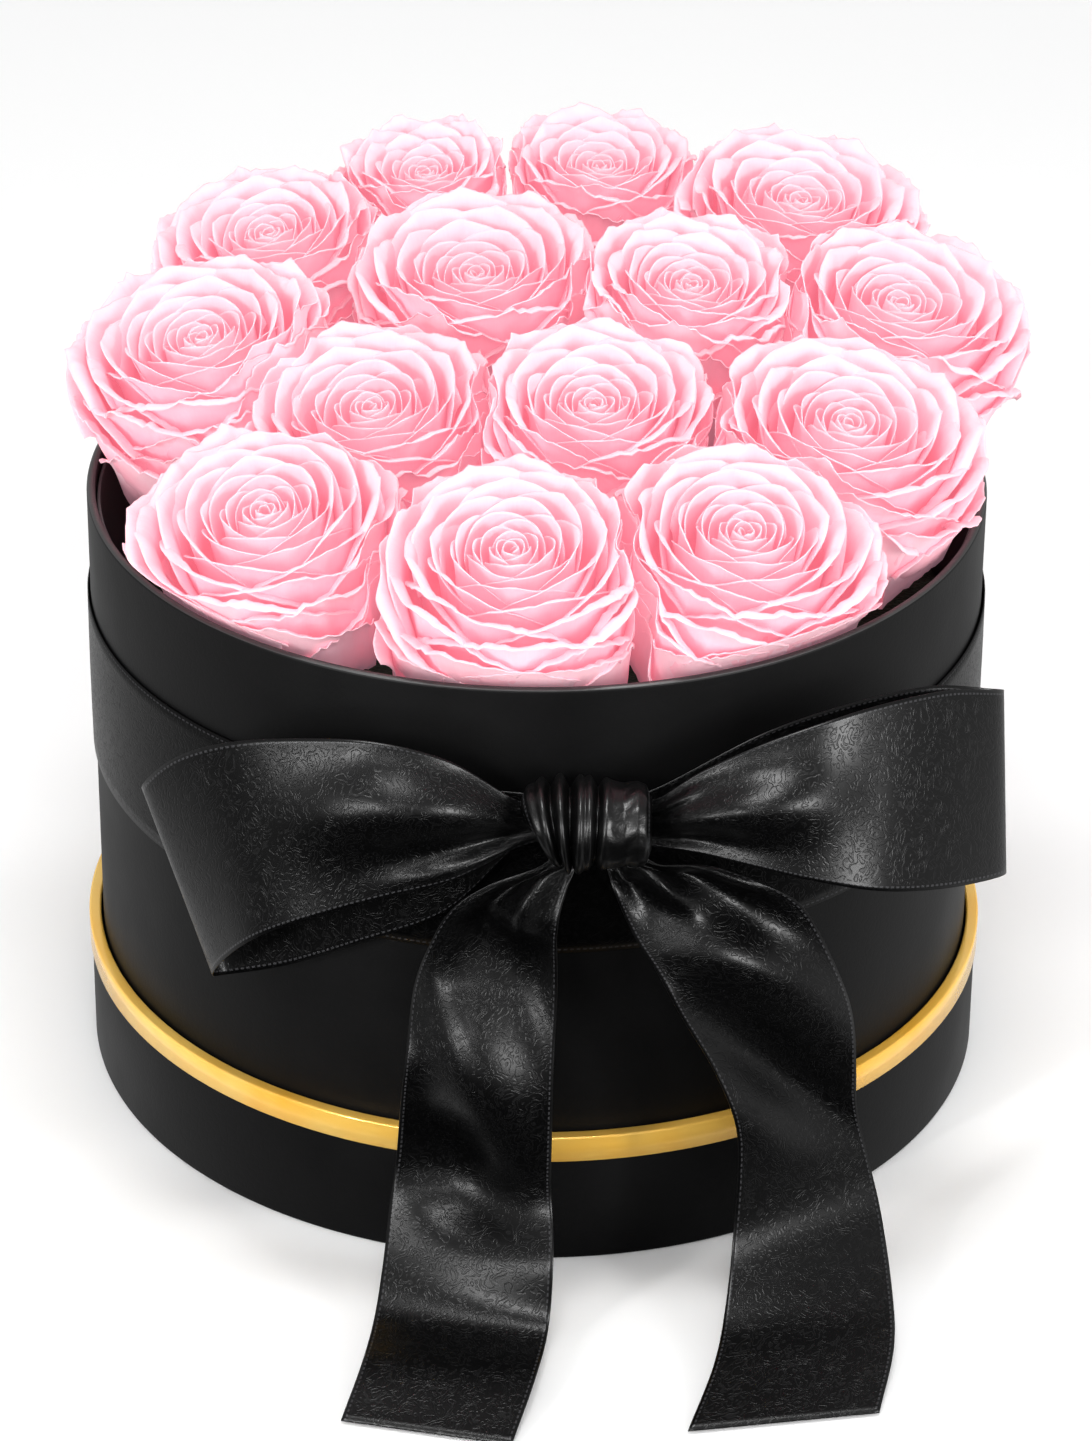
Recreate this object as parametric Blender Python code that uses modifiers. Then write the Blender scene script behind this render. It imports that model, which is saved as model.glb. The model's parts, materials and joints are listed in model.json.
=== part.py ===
"""Round flower box with its lid turned over as a tray, a satin ribbon with a bow, and roses set in foam.

The origin is the centre of the lid panel's underside. +Z is up, and the bow faces -Y. Lengths are in metres.
"""

import math

import bmesh
import bpy
from mathutils import Vector

OBJECT_NAME = "flower_box"
MM = 0.001

# Gaps: mating faces stay this far apart.
GAP = 0.3 * MM
FOIL_GAP = 0.2 * MM

# Board tube that is the box.
BODY_RADIUS = 110 * MM
BOARD = 2.2 * MM
RIM_HEIGHT = 154.6 * MM
FLOOR_THICKNESS = 2 * MM
LINING = 0.8 * MM
LINING_BELOW_RIM = 3 * MM

# Lid, turned over to be the tray that the box stands in.
LID_BOARD = 2 * MM
LID_FIT = 1.1 * MM
LID_HEIGHT = 34.6 * MM
LID_OUTER = BODY_RADIUS + LID_FIT + LID_BOARD
BAND_LEG = 6.7 * MM
BAND_FOIL = 0.35 * MM

# Foam that holds the stems.
FOAM_RADIUS = 104 * MM
FOAM_TOP = 118 * MM
FOAM_CHAMFER = 4 * MM
STEM_DEPTH = 26 * MM
STEM_RADIUS = 1.7 * MM
STEM_HOLE_CLEARANCE = 0.4 * MM
HOLE_OVER_LENGTH = 1.5 * MM

# Roses: every stem points at one focus below the box, so that the stems fan out. A head keeps a share of
# its stem's lean along X and Y, and nods towards the bow.
FOCUS = Vector((0, 0, -100 * MM))
LEAN_KEPT_X = 0.6
LEAN_KEPT_Y = 0.25
HEAD_NOD = 0.19
BLOOM_ABOVE_EYE = 3 * MM
BLOOM_HEIGHT = 46 * MM
CALYX_HEIGHT = 8 * MM

# Each rose: angle round the box in degrees, then the eye's distance from the axis, the eye's height
# and the bloom's radius, in millimetres.
ROSES = {
    "rose_front": (-95.2, 88.0, 179.0, 26.9),
    "rose_front_right": (-58.6, 90.5, 179.0, 24.8),
    "rose_right_low": (-22.2, 82.5, 184.5, 29.0),
    "rose_right_high": (14.4, 92.0, 191.0, 25.5),
    "rose_back_right": (47.4, 92.0, 198.0, 25.6),
    "rose_back": (79.4, 91.5, 197.5, 24.0),
    "rose_back_left": (108.7, 91.5, 197.0, 21.0),
    "rose_left_high": (138.5, 91.5, 192.0, 25.3),
    "rose_left_low": (174.3, 85.0, 187.0, 29.0),
    "rose_front_left": (-132.8, 90.5, 180.5, 25.8),
    "rose_inner_back_left": (113.9, 39.7, 192.0, 29.0),
    "rose_inner_back_right": (30.6, 43.4, 195.0, 25.0),
    "rose_inner_front_left": (-152.2, 42.2, 182.0, 24.9),
    "rose_inner_front_right": (-59.4, 30.0, 186.0, 26.7),
}

# Bloom outline: share of the bloom's radius at each share of its height, from the top down.
BLOOM_OUTLINE = (
    (0.52, 1.00),
    (0.76, 0.955),
    (0.95, 0.84),
    (1.00, 0.70),
    (0.95, 0.54),
    (0.76, 0.36),
    (0.58, 0.16),
    (0.30, 0.00),
)
# Stem and sepal cup: radius in millimetres, and height below the bloom in millimetres.
CALYX_OUTLINE = ((5.4, 2.9), (5.0, 4.2), (3.2, 6.4))

# Satin ribbon.
RIBBON_WIDTH = 41 * MM
RIBBON_LOW_EDGE = 85.5 * MM
BAND_THICKNESS = 0.5 * MM
SATIN = 0.9 * MM
KNOT_CENTRE = Vector((11.7 * MM, -122.9 * MM, 127.2 * MM))
KNOT_HALF = Vector((13.6 * MM, 11.3 * MM, 10.2 * MM))

# Each ribbon piece runs between two edges. A station is a point on the upper or left edge and its
# partner on the lower or right edge, in millimetres.
LOOP_LEFT = (
    ((-4.2, -121, 132.4), (-4.2, -124, 121.4)),
    ((-19, -124, 143.9), (-18, -132, 117.8)),
    ((-34.6, -125, 149.2), (-33.5, -134, 114.1)),
    ((-50.5, -122, 148.4), (-48.3, -134, 109.2)),
    ((-66.6, -116, 143.6), (-61.1, -129, 101.2)),
    ((-78.7, -107, 134.4), (-68.7, -120, 91.0)),
    ((-86.6, -97, 121.6), (-72.8, -109, 79.5)),
    ((-84.0, -90, 116.0), (-69.5, -102, 74.8)),
    ((-70.0, -93, 120.0), (-57.0, -103.5, 77.0)),
    ((-50.0, -104, 127.5), (-40.0, -110.5, 87.5)),
    ((-28.0, -112.2, 131.0), (-20.0, -115.2, 99.0)),
    ((-4.2, -115.4, 131.0), (-4.2, -117.2, 117.5)),
)
LOOP_RIGHT = (
    ((27.6, -121, 132.8), (27.6, -123.5, 121.8)),
    ((37.3, -123, 141.0), (37.6, -128, 122.7)),
    ((50.6, -122, 147.5), (51.0, -133, 121.9)),
    ((66.4, -118, 151.8), (63.4, -134, 119.2)),
    ((80.3, -110, 152.1), (78.5, -130, 114.3)),
    ((94.8, -99, 149.3), (94.3, -118, 107.9)),
    ((107.2, -87, 142.8), (108.7, -101, 101.0)),
    ((106.6, -80.5, 139.5), (108.2, -94, 99.0)),
    ((92.0, -82, 141.0), (94.0, -96, 101.0)),
    ((73.0, -94, 143.0), (74.0, -104, 106.0)),
    ((52.0, -106, 141.5), (53.0, -112, 112.0)),
    ((27.6, -115.6, 132.4), (27.6, -117.6, 118.0)),
)
TAIL_LEFT = (
    ((2.0, -121, 115.2), (9.5, -121.5, 115.2)),
    ((-11.5, -123, 109.5), (7.5, -126.5, 111.5)),
    ((-20.5, -123, 100.5), (5.6, -130, 103.5)),
    ((-26.6, -120, 82.5), (5.0, -130.5, 87.0)),
    ((-30.2, -118, 56.0), (4.8, -130, 60.0)),
    ((-32.4, -118.5, 30.0), (5.0, -131.5, 34.0)),
    ((-34.4, -124.5, 10.5), (5.2, -135.5, 14.0)),
    ((-36.4, -137.0, 2.0), (4.2, -144.5, 3.0)),
    ((-38.8, -154.0, 0.9), (1.2, -160.5, 0.9)),
    ((-43.2, -178.5, 0.9), (-4.0, -187.0, 0.9)),
)
TAIL_RIGHT = (
    ((16.5, -121, 115.2), (28.8, -120.5, 115.2)),
    ((18.6, -125, 110.0), (43.5, -119.5, 113.6)),
    ((23.4, -126.5, 99.0), (62.0, -116.5, 101.5)),
    ((33.0, -127.5, 82.0), (72.0, -112, 77.0)),
    ((43.0, -128, 62.5), (76.4, -105.5, 50.0)),
    ((48.0, -128.5, 42.0), (79.4, -105.0, 30.0)),
    ((47.6, -131.5, 20.0), (83.8, -114.5, 12.0)),
    ((45.4, -139.5, 4.2), (85.4, -128.5, 3.0)),
    ((42.4, -156.0, 0.9), (84.8, -148.0, 0.9)),
    ((36.2, -181.5, 0.9), (80.4, -174.0, 0.9)),
)

# How finely round pieces are divided.
WALL_STEPS = 72
BLOOM_STEPS = 20
STEM_STEPS = 10
KNOT_STEPS = 18
RIBBON_ROWS_PER_STATION = 3
RIBBON_COLUMNS = 4

COLOURS = {
    "board": ((0.012, 0.012, 0.013), 0.5, 0.0),
    "lining": ((0.02, 0.02, 0.021), 0.8, 0.0),
    "gold": ((0.85, 0.60, 0.22), 0.2, 1.0),
    "foam": ((0.06, 0.16, 0.07), 0.95, 0.0),
    "petal": ((0.95, 0.60, 0.70), 0.7, 0.0),
    "stem": ((0.14, 0.27, 0.10), 0.7, 0.0),
    "satin": ((0.010, 0.010, 0.011), 0.35, 0.0),
}


def clear_scene():
    for old in list(bpy.data.objects):
        bpy.data.objects.remove(old, do_unlink=True)


def new_collection(name):
    collection = bpy.data.collections.new(name)
    bpy.context.scene.collection.children.link(collection)
    return collection


def material_for(node, look):
    colour, roughness, metallic = COLOURS[look]
    made = bpy.data.materials.new(node)
    made.use_nodes = True
    shader = made.node_tree.nodes["Principled BSDF"]
    shader.inputs["Base Color"].default_value = (*colour, 1)
    shader.inputs["Roughness"].default_value = roughness
    shader.inputs["Metallic"].default_value = metallic
    return made


def add_object(name, mesh, collection, look=None, parent=None):
    made = bpy.data.objects.new(name, mesh)
    collection.objects.link(made)
    if look:
        mesh.materials.append(material_for(name, look))
    if parent:
        made.parent = parent
    return made


def profile_mesh(name, outline, closed):
    """A line of vertices at (radius, height), joined in order, in the XZ plane."""
    mesh = bpy.data.meshes.new(name)
    count = len(outline)
    edges = [(i, i + 1) for i in range(count - 1)]
    if closed:
        edges.append((count - 1, 0))
    mesh.from_pydata([(radius, 0, height) for radius, height in outline], edges, [])
    return mesh


def turned(name, outline, steps, closed, collection, look=None, parent=None):
    """Turns an outline round Z. It runs down the outer side, top to bottom."""
    made = add_object(name, profile_mesh(name, outline, closed), collection, look, parent)
    screw = made.modifiers.new("Turn", "SCREW")
    screw.angle = math.tau
    screw.steps = steps
    screw.render_steps = steps
    screw.use_merge_vertices = True
    screw.merge_threshold = 1e-6
    screw.use_smooth_shade = True
    return made


def ring_outline(inner, outer, bottom, top, rounding=0.0):
    """A closed upright wall section. Rounding rounds its top edge with a half circle of arcs."""
    if not rounding:
        return [(outer, top), (outer, bottom), (inner, bottom), (inner, top)]
    corners = ((outer - rounding, 0.0, 90.0), (inner + rounding, 90.0, 180.0))
    outline = []
    for centre, start, end in reversed(corners):
        for i in range(3, -1, -1):
            angle = math.radians(start + (end - start) * i / 3)
            outline.append(
                (centre + rounding * math.cos(angle), top - rounding + rounding * math.sin(angle))
            )
    return [*outline, (outer, bottom), (inner, bottom)]


def disc_outline(radius, bottom, top):
    return [(0, top), (radius, top), (radius, bottom), (0, bottom)]


def make_lid(parts):
    turned(
        "lid_panel", disc_outline(LID_OUTER - LID_BOARD - GAP, 0, LID_BOARD), WALL_STEPS, False,
        parts, "board",
    )
    turned(
        "lid_wall", ring_outline(LID_OUTER - LID_BOARD, LID_OUTER, 0, LID_HEIGHT), WALL_STEPS, True,
        parts, "board",
    )
    inner = LID_OUTER - LID_BOARD - FOIL_GAP
    outer = LID_OUTER + FOIL_GAP
    under = LID_HEIGHT + FOIL_GAP
    low = LID_HEIGHT + FOIL_GAP + BAND_FOIL - BAND_LEG
    channel = [
        (outer + BAND_FOIL, under + BAND_FOIL),
        (outer + BAND_FOIL, low),
        (outer, low),
        (outer, under),
        (inner, under),
        (inner, low),
        (inner - BAND_FOIL, low),
        (inner - BAND_FOIL, under + BAND_FOIL),
    ]
    turned("lid_gold_band", channel, WALL_STEPS, True, parts, "gold")


def make_box(parts, box):
    bottom = LID_BOARD + GAP
    inside = BODY_RADIUS - BOARD
    turned(
        "box_floor", disc_outline(inside - GAP, bottom, bottom + FLOOR_THICKNESS), WALL_STEPS, False,
        parts, "board", box,
    )
    turned(
        "box_wall", ring_outline(inside, BODY_RADIUS, bottom, RIM_HEIGHT, BOARD * 0.45), WALL_STEPS,
        True, parts, "board", box,
    )
    lining_outer = inside - GAP
    turned(
        "box_lining",
        ring_outline(
            lining_outer - LINING, lining_outer, bottom + FLOOR_THICKNESS + GAP,
            RIM_HEIGHT - LINING_BELOW_RIM,
        ),
        WALL_STEPS, True, parts, "lining", box,
    )


def rose_frame(angle, distance, eye_height):
    """The foot of the bloom, the way the head faces, and the way the stem runs up from the focus to the foot."""
    turn = math.radians(angle)
    eye = Vector((math.cos(turn) * distance, math.sin(turn) * distance, eye_height)) * MM
    lean = (eye - FOCUS).normalized()
    head = Vector((lean.x * LEAN_KEPT_X, lean.y * LEAN_KEPT_Y - HEAD_NOD, lean.z)).normalized()
    foot = eye + head * (BLOOM_ABOVE_EYE - BLOOM_HEIGHT)
    return foot, head, (foot - FOCUS).normalized()


def stem_length(foot, axis):
    """From the bloom's foot down the stem to the foam's top, plus the depth that is in the foam."""
    return (foot.z - FOAM_TOP) / axis.z + STEM_DEPTH


def rose_pivot(name, foot, axis, collection, parent):
    pivot = bpy.data.objects.new(name, None)
    collection.objects.link(pivot)
    pivot.location = foot
    pivot.rotation_mode = "QUATERNION"
    pivot.rotation_quaternion = axis.to_track_quat("Z", "Y")
    pivot.parent = parent
    return pivot


def make_rose(name, placing, parts, cutters, box):
    angle, distance, eye_height, radius = placing
    foot, head, axis = rose_frame(angle, distance, eye_height)
    head_pivot = rose_pivot(name + "_head", foot, head, parts, box)
    pivot = rose_pivot(name + "_pivot", foot, axis, parts, box)
    bloom = [(0, BLOOM_HEIGHT)]
    bloom += [(share * radius * MM, height * BLOOM_HEIGHT) for share, height in BLOOM_OUTLINE]
    bloom.append((0, 0))
    turned(name + "_bloom", bloom, BLOOM_STEPS, False, parts, "petal", head_pivot)
    length = stem_length(foot, axis)
    stem = [(0, -GAP)]
    stem += [(r * MM, -GAP - depth * MM) for r, depth in CALYX_OUTLINE]
    stem += [(STEM_RADIUS, -GAP - CALYX_HEIGHT), (STEM_RADIUS, -length), (0, -length)]
    turned(name + "_stem", stem, STEM_STEPS, False, parts, "stem", pivot)
    hole_top = -(length - STEM_DEPTH) + 4 * STEM_RADIUS
    hole_radius = STEM_RADIUS + STEM_HOLE_CLEARANCE
    hole = disc_outline(hole_radius, -length - HOLE_OVER_LENGTH, hole_top)
    cutter = turned(name + "_hole", hole, STEM_STEPS, False, cutters, None, pivot)
    cutter.hide_render = True
    cutter.display_type = "WIRE"


def make_foam(parts, cutters, box):
    bottom = LID_BOARD + GAP + FLOOR_THICKNESS + GAP
    outline = [
        (0, FOAM_TOP),
        (FOAM_RADIUS - FOAM_CHAMFER, FOAM_TOP),
        (FOAM_RADIUS, FOAM_TOP - FOAM_CHAMFER),
        (FOAM_RADIUS, bottom),
        (0, bottom),
    ]
    foam = turned("foam_block", outline, WALL_STEPS, False, parts, "foam", box)
    holes = foam.modifiers.new("Stem holes", "BOOLEAN")
    holes.operation = "DIFFERENCE"
    holes.operand_type = "COLLECTION"
    holes.collection = cutters


def smooth_point(points, at):
    """A point on the smooth curve through the points. at runs from 0 to the last index."""
    last = len(points) - 1
    low = min(int(at), last - 1)
    t = at - low
    before = points[low - 1] if low else points[0] * 2 - points[1]
    after = points[low + 2] if low + 2 <= last else points[last] * 2 - points[last - 1]
    start, end = points[low], points[low + 1]
    slope_in = (end - before) / 2
    slope_out = (after - start) / 2
    return (
        start * (2 * t**3 - 3 * t**2 + 1)
        + slope_in * (t**3 - 2 * t**2 + t)
        + end * (3 * t**2 - 2 * t**3)
        + slope_out * (t**3 - t**2)
    )


def ribbon_piece(name, stations, parts, box):
    """A length of ribbon lofted between its two edges, then given the satin's thickness."""
    first = [Vector(edge) * MM for edge, _ in stations]
    second = [Vector(edge) * MM for _, edge in stations]
    rows = (len(stations) - 1) * RIBBON_ROWS_PER_STATION
    loft = bmesh.new()
    grid = []
    for row in range(rows + 1):
        at = row / RIBBON_ROWS_PER_STATION
        a, b = smooth_point(first, at), smooth_point(second, at)
        grid.append(
            [loft.verts.new(a.lerp(b, c / RIBBON_COLUMNS)) for c in range(RIBBON_COLUMNS + 1)]
        )
    for upper, lower in zip(grid, grid[1:]):
        for c in range(RIBBON_COLUMNS):
            loft.faces.new((upper[c], lower[c], lower[c + 1], upper[c + 1]))
    mesh = bpy.data.meshes.new(name)
    loft.to_mesh(mesh)
    loft.free()
    mesh.shade_smooth()
    made = add_object(name, mesh, parts, "satin", box)
    thickness = made.modifiers.new("Thickness", "SOLIDIFY")
    thickness.thickness = SATIN
    thickness.offset = 0
    return made


def make_knot(parts, box):
    """The short roll of ribbon that holds the bow: a barrel lying along X."""
    bulge = ((0.62, 1.0), (0.90, 0.86), (1.0, 0.45), (0.96, 0.0), (1.0, -0.45), (0.90, -0.86), (0.62, -1.0))
    outline = [(0, KNOT_HALF.x)]
    outline += [(share * KNOT_HALF.z, place * KNOT_HALF.x) for share, place in bulge]
    outline.append((0, -KNOT_HALF.x))
    knot = turned("bow_knot", outline, KNOT_STEPS, False, parts, "satin", box)
    knot.location = KNOT_CENTRE
    knot.rotation_euler = (0, math.radians(90), 0)
    knot.scale = (1, KNOT_HALF.y / KNOT_HALF.z, 1)


def make_ribbon(parts, box):
    inner = BODY_RADIUS + GAP
    band = ring_outline(
        inner, inner + BAND_THICKNESS, RIBBON_LOW_EDGE, RIBBON_LOW_EDGE + RIBBON_WIDTH
    )
    turned("ribbon_band", band, WALL_STEPS, True, parts, "satin", box)
    make_knot(parts, box)
    ribbon_piece("bow_loop_left", LOOP_LEFT, parts, box)
    ribbon_piece("bow_loop_right", LOOP_RIGHT, parts, box)
    ribbon_piece("bow_tail_left", TAIL_LEFT, parts, box)
    ribbon_piece("bow_tail_right", TAIL_RIGHT, parts, box)


def main():
    clear_scene()
    parts = new_collection(OBJECT_NAME)
    cutters = new_collection("cutters")
    box = bpy.data.objects.new("box_frame", None)
    parts.objects.link(box)
    make_lid(parts)
    make_box(parts, box)
    for name, placing in ROSES.items():
        make_rose(name, placing, parts, cutters, box)
    make_foam(parts, cutters, box)
    make_ribbon(parts, box)


main()
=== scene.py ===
"""Looks of the round flower box: a black box in its upturned lid, a satin ribbon with a bow, and roses.

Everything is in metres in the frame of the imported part: the origin is under the centre of the lid, +Z is up,
and the bow faces -Y.
"""

import json
import math

import bpy
import numpy as np
from mathutils import Matrix, Vector

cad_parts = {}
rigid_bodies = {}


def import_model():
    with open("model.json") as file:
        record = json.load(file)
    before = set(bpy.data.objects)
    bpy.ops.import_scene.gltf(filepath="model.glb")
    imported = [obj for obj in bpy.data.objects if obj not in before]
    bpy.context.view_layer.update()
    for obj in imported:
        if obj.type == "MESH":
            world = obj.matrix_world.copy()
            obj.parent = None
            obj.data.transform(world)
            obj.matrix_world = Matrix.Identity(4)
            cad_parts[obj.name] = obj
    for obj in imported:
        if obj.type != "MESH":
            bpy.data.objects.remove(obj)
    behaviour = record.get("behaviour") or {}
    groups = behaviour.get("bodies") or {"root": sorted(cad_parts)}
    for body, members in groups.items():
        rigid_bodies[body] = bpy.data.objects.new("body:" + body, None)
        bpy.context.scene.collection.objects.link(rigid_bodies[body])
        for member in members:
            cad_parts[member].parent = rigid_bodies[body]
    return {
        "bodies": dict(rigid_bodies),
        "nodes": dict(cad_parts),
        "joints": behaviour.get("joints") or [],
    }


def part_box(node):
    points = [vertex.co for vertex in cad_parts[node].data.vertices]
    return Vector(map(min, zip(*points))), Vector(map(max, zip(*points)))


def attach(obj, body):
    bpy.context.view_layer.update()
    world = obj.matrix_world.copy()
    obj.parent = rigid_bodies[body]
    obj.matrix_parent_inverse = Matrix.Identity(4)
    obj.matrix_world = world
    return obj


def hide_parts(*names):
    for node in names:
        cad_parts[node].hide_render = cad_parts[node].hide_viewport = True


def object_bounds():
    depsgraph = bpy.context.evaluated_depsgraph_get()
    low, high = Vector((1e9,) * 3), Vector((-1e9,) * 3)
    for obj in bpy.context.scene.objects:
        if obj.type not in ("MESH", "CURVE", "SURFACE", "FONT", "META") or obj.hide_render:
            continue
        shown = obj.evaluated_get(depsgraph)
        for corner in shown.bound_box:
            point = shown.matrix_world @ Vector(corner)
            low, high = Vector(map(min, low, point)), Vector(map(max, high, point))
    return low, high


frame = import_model()
cad_low, cad_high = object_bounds()

MM = 0.001
SEED = 4117

# Studio: the world is light, except for a dark patch low in front, which glossy black pieces mirror. An edge
# is given as cosines with straight up and with the way to the patch, and the light outside and inside it.
WORLD_HORIZON = (0.12, -0.08)
WORLD_DARK_WAY = (0, -0.87, -0.49)
WORLD_DARK_EDGE = (0.12, 0.66)
WORLD_LIGHT = (0.72, 0.03)

# Lights, all facing one point: place, size, power in watts, and whether a light only shows in reflections.
LIGHT_AIM = (0, 0, 0.12)
LIGHTS = {
    "top": ((0.0, -0.25, 1.45), (0.45, 0.22), 6.7, False),
    "front_high": ((0.1, -1.2, 1.05), (0.3, 0.12), 2.5, False),
    "satin_sheen": ((0.0, -0.35, 1.3), (0.5, 0.3), 12, True),
    "satin_sheen_left": ((-0.5, -1.1, 0.66), (0.4, 0.2), 11, True),
    "satin_sheen_right": ((0.85, -0.85, 0.5), (0.2, 0.35), 9, True),
    "front_left": ((-0.85, -0.95, 0.38), (0.1, 0.45), 7, False),
    "front_right": ((0.95, -0.75, 0.38), (0.1, 0.45), 6, False),
}
FLOOR_REACH = 6.0
FLOOR_GAP = 0.1 * MM

# Camera: place, yaw, pitch and roll in degrees, and lens and sensor width in millimetres.
CAMERA_PLACE = (0.00065, -1.11194, 0.70945)
CAMERA_TURN = (0.107, 29.32, 0.487)
CAMERA_LENS = 126.6
CAMERA_SENSOR = 36

# How finely the round pieces are divided, and how far below a wall's top edge its paper is polished.
ROUND_STEPS = 288
EDGE_POLISH = 0.5 * MM
# The gold foil's thickness, and the radius of its bends.
FOIL = 0.35 * MM
FOIL_BEND = 0.55 * MM

# Satin ribbon.
RIBBON_WIDTH = 41 * MM
SATIN = 0.35 * MM
ROWS_PER_STATION = 9
RIBBON_COLUMNS = 44
# Its selvedge: the hem's width, and its row of stitches.
HEM = 1.5 * MM
STITCH_ROW = 0.9 * MM
STITCH_WIDTH = 0.44 * MM
STITCH_PITCH = 1.5 * MM
STITCH_SHARE = 0.58
# Where it is wound round the box: how far it stands off, bulges and wanders up and down.
BAND_COLUMNS = 12
BAND_EASE = 0.25 * MM
BAND_BULGE = 0.12 * MM
BAND_WANDER = 0.35 * MM

# The two edges of each ribbon piece: a station is a point on the upper or left edge and its partner on
# the lower or right edge, in millimetres.
LOOP_LEFT = (
    ((4.5, -120.5, 130.6), (4.5, -122.5, 123.0)),
    ((-4.2, -121.0, 132.4), (-4.2, -124.0, 121.4)),
    ((-19.0, -124.0, 143.9), (-18.0, -132.0, 117.8)),
    ((-34.6, -125.0, 149.2), (-33.5, -134.0, 114.1)),
    ((-50.5, -122.0, 148.4), (-48.3, -134.0, 109.2)),
    ((-68.6, -116.0, 143.9), (-62.1, -129.0, 100.6)),
    ((-82.2, -107.0, 134.6), (-70.2, -120.0, 89.6)),
    ((-90.6, -97.0, 121.6), (-74.8, -109.0, 77.5)),
    ((-87.6, -90.0, 116.0), (-71.5, -102.0, 73.2)),
    ((-70.0, -93.0, 120.0), (-57.0, -103.5, 77.0)),
    ((-50.0, -104.0, 127.5), (-40.0, -110.5, 87.5)),
    ((-28.0, -112.2, 131.0), (-20.0, -115.2, 99.0)),
    ((-4.2, -115.4, 131.0), (-4.2, -117.2, 117.5)),
    ((4.5, -116.6, 130.0), (4.5, -118.0, 121.0)),
)
LOOP_RIGHT = (
    ((19.0, -120.5, 131.0), (19.0, -122.5, 123.0)),
    ((27.6, -121.0, 132.8), (27.6, -123.5, 121.8)),
    ((37.3, -123.0, 141.0), (37.6, -128.0, 122.7)),
    ((50.6, -122.0, 147.5), (51.0, -133.0, 121.9)),
    ((66.4, -118.0, 151.8), (63.4, -134.0, 119.2)),
    ((80.3, -110.0, 152.1), (78.5, -130.0, 114.3)),
    ((94.8, -99.0, 149.3), (94.3, -118.0, 107.9)),
    ((107.2, -87.0, 142.8), (108.7, -101.0, 101.0)),
    ((106.6, -80.5, 139.5), (108.2, -94.0, 99.0)),
    ((92.0, -82.0, 141.0), (94.0, -96.0, 101.0)),
    ((73.0, -94.0, 143.0), (74.0, -104.0, 106.0)),
    ((52.0, -106.0, 141.5), (53.0, -112.0, 112.0)),
    ((27.6, -115.6, 132.4), (27.6, -117.6, 118.0)),
    ((19.0, -116.6, 131.0), (19.0, -118.0, 121.0)),
)
TAIL_LEFT = (
    ((5.0, -120.5, 121.0), (9.5, -121.0, 121.0)),
    ((2.0, -121.0, 115.2), (9.5, -121.5, 115.2)),
    ((-11.5, -121.8, 109.5), (7.5, -124.8, 111.5)),
    ((-20.5, -120.8, 100.5), (5.6, -127.2, 103.5)),
    ((-26.6, -115.8, 81.2), (5.0, -126.5, 86.5)),
    ((-30.2, -126.7, 60.1), (4.8, -131.5, 60.2)),
    ((-32.4, -120.6, 31.2), (5.0, -129.8, 33.0)),
    ((-34.4, -128.4, 14.5), (5.2, -142.4, 19.8)),
    ((-36.4, -141.9, 4.9), (4.2, -149.4, 5.9)),
    ((-38.8, -161.3, 5.0), (1.2, -167.8, 5.0)),
    ((-43.2, -178.5, 0.9), (-4.0, -187.0, 0.9)),
)
TAIL_RIGHT = (
    ((15.5, -120.5, 121.0), (21.5, -120.5, 121.0)),
    ((16.5, -121.0, 115.2), (28.8, -120.5, 115.2)),
    ((18.6, -125.0, 110.0), (43.5, -119.5, 113.6)),
    ((23.4, -125.2, 98.2), (62.0, -116.5, 101.5)),
    ((33.0, -131.8, 84.6), (72.0, -109.4, 75.5)),
    ((43.0, -128.9, 63.0), (76.4, -109.8, 52.6)),
    ((48.0, -128.5, 42.0), (79.4, -105.0, 30.0)),
    ((47.6, -131.0, 19.5), (83.8, -110.5, 12.0)),
    ((45.4, -145.4, 7.5), (85.4, -134.4, 6.3)),
    ((42.4, -161.4, 4.0), (84.8, -153.4, 4.0)),
    ((36.2, -181.5, 0.9), (80.4, -174.0, 0.9)),
)

# Folds pressed into a ribbon. Each runs along it: place across the ribbon (0 to 1) where it starts and
# where it ends, its width as a share of the ribbon, its depth in millimetres (outward is positive), and
# the stations where it starts, is deepest and ends.
FOLDS = {
    "satin_loop_left": (
        (0.40, 0.42, 0.24, -7.0, 0.4, 2.8, 4.9),
        (0.72, 0.76, 0.10, 1.8, 0.4, 1.8, 4.0),
        (0.88, 0.92, 0.06, -2.0, 0.3, 1.6, 3.4),
    ),
    "satin_loop_right": (
        (0.50, 0.52, 0.24, -6.5, 0.4, 2.8, 4.9),
        (0.82, 0.84, 0.10, 1.6, 0.4, 1.8, 4.0),
        (0.26, 0.20, 0.07, -1.6, 0.3, 1.5, 2.6),
    ),
    "satin_tail_left": (
        (0.62, 0.72, 0.14, -5.0, 0.4, 2.4, 4.4),
        (0.30, 0.36, 0.12, 2.6, 0.6, 2.6, 4.6),
        (0.92, 0.96, 0.10, 1.8, 0.6, 2.4, 4.0),
    ),
    "satin_tail_right": (
        (0.44, 0.40, 0.10, -4.6, 0.4, 1.9, 3.2),
        (0.20, 0.16, 0.10, 3.0, 0.4, 1.8, 3.4),
        (0.70, 0.66, 0.12, 2.8, 0.6, 2.2, 3.8),
        (0.90, 0.92, 0.08, -1.6, 0.6, 2.2, 3.8),
    ),
}

# Slanting ripples of a hanging ribbon: how many stations later one comes at the far edge, the station where
# the first one crosses zero, their length in stations, their depth in millimetres, and the stations between
# which they are seen.
RIPPLES = {
    "satin_tail_left": (2.0, 4.6, 3.2, 6.0, 2.6, 7.1),
    "satin_tail_right": (1.4, 3.6, 3.0, 6.5, 2.2, 6.4),
}

# Roses. Petals are wider than the solid they stand for, and are pressed back from whatever is beside them.
EYE_BELOW_TOP = 3.0 * MM
STEM_GAP = 0.3 * MM
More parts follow.
